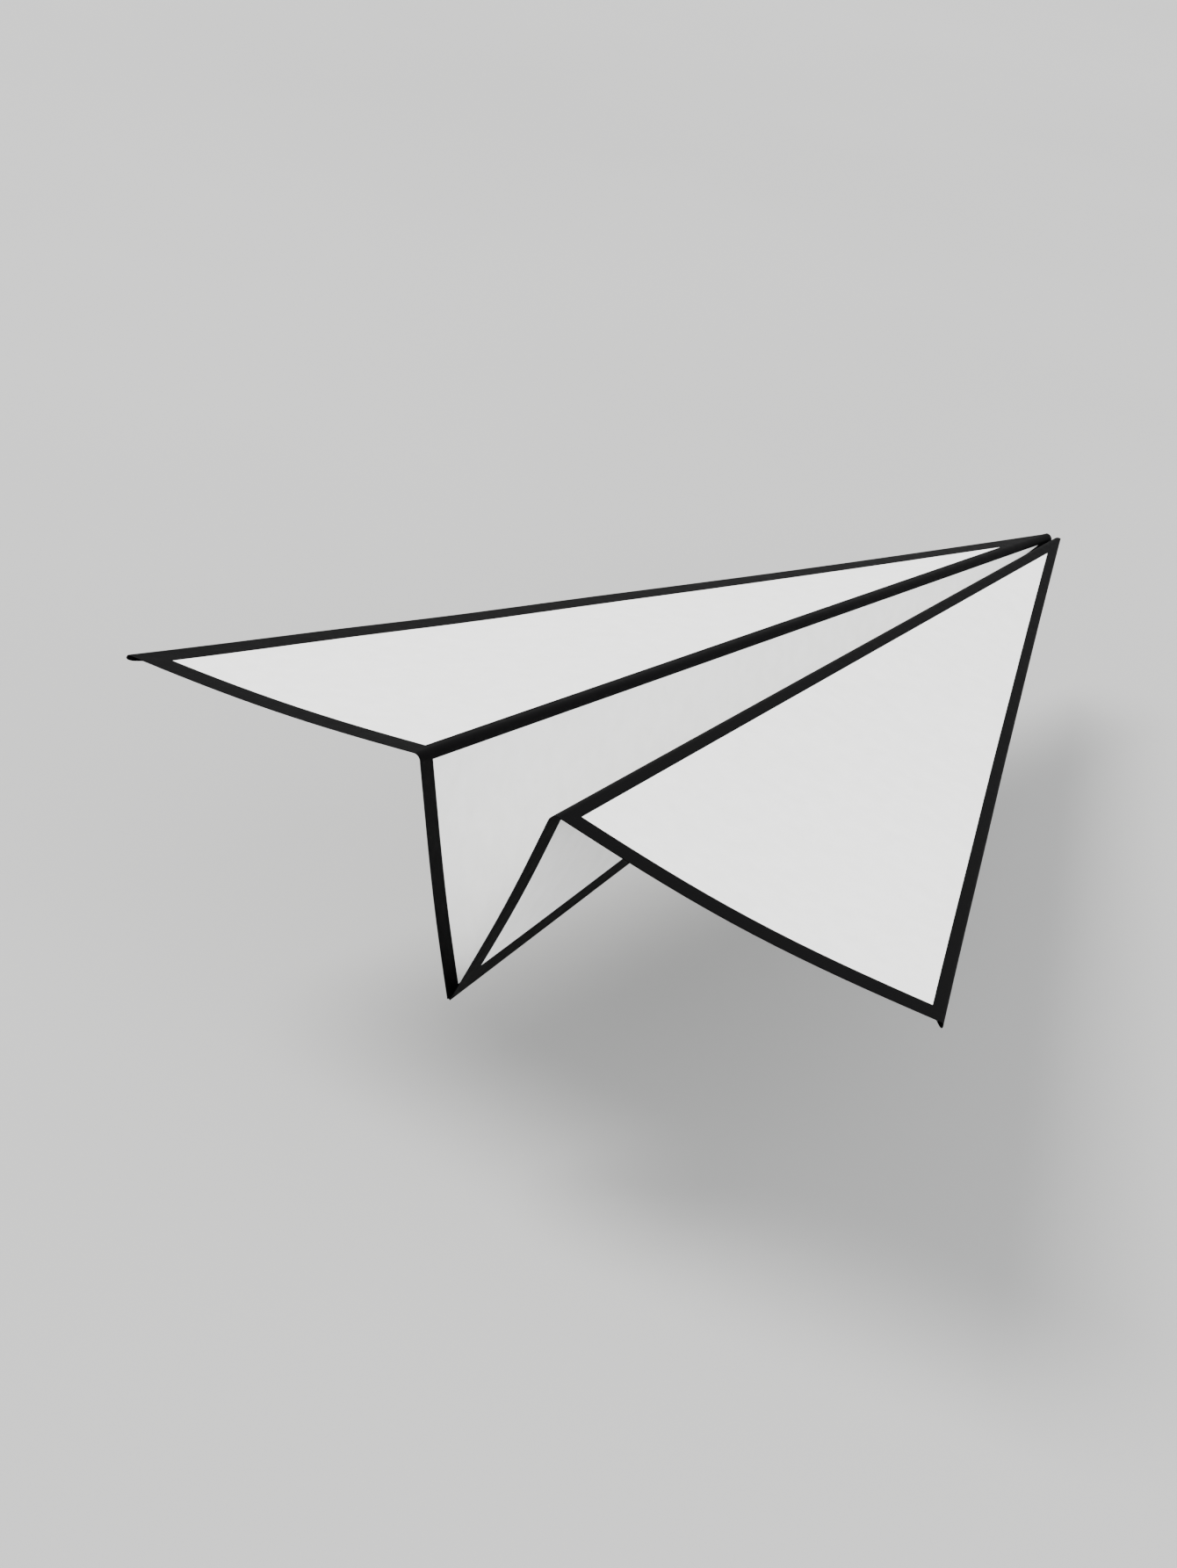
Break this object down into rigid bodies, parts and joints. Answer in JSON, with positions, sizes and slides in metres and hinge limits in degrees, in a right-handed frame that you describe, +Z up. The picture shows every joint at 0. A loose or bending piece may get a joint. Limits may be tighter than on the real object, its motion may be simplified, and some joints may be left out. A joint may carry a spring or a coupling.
{
  "type": "paper airplane",
  "caption": "Folded paper dart with pointed triangular wings, a V-shaped keel to hold and folded flaps beneath; keel, wings and keel flaps turn about their creases.",
  "frame": {"origin": "middle of the bottom of the dart's box, under the keel halfway along it", "axes": "+Y forwards to the nose, +X starboard, +Z up; the keel's bottom crease is level"},
  "size_m": [0.16, 0.2774, 0.042],
  "materials": {
    "white_paper": "matt white writing paper, 80 g per square metre",
    "black_ink": "matt black ink drawn along the edges and creases"
  },
  "bodies": {
    "left_keel": {"left_keel_panel": "white_paper", "left_keel_corner_inner": "white_paper"},
    "left_keel_flap": {"left_keel_corner_outer": "white_paper", "left_keel_outer_flap": "white_paper", "left_keel_flap_fold": "white_paper"},
    "left_wing": {"left_wing_panel": "white_paper", "left_wing_corner_inner": "white_paper", "left_wing_corner_outer": "white_paper", "left_wing_outer_flap": "white_paper", "left_leading_edge_fold": "white_paper", "left_leading_edge_inner_fold": "white_paper"},
    "right_keel": {"right_keel_panel": "white_paper", "right_keel_corner_inner": "white_paper"},
    "right_keel_flap": {"right_keel_corner_outer": "white_paper", "right_keel_outer_flap": "white_paper", "right_keel_flap_fold": "white_paper"},
    "right_wing": {"right_wing_panel": "white_paper", "right_wing_corner_inner": "white_paper", "right_wing_corner_outer": "white_paper", "right_wing_outer_flap": "white_paper", "right_leading_edge_fold": "white_paper", "right_leading_edge_inner_fold": "white_paper"}
  },
  "joints": [
    {"name": "keel_fold", "type": "hinge", "parent": "left_keel", "child": "right_keel", "pos_m": [0, 0, 0.00021], "axis": [0, 1, 0], "range_deg": [-33, 27]},
    {"name": "left_wing_fold", "type": "hinge", "parent": "left_keel", "child": "left_wing", "pos_m": [-0.00153, 0.14069, -0.00025], "axis": [-0.0428, -0.9886, 0.1445], "range_deg": [-82.5, 82.5]},
    {"name": "right_wing_fold", "type": "hinge", "parent": "right_keel", "child": "right_wing", "pos_m": [0.00153, 0.14069, -0.00025], "axis": [-0.0428, 0.9886, -0.1445], "range_deg": [-82.5, 82.5]},
    {"name": "left_flap_lift", "type": "hinge", "parent": "left_keel", "child": "left_keel_flap", "pos_m": [-0.00153, 0.14069, -0.00025], "axis": [0.0428, 0.9886, -0.1445], "range_deg": [0, 8]},
    {"name": "right_flap_lift", "type": "hinge", "parent": "right_keel", "child": "right_keel_flap", "pos_m": [0.00153, 0.14069, -0.00025], "axis": [0.0428, -0.9886, 0.1445], "range_deg": [0, 8]}
  ]
}
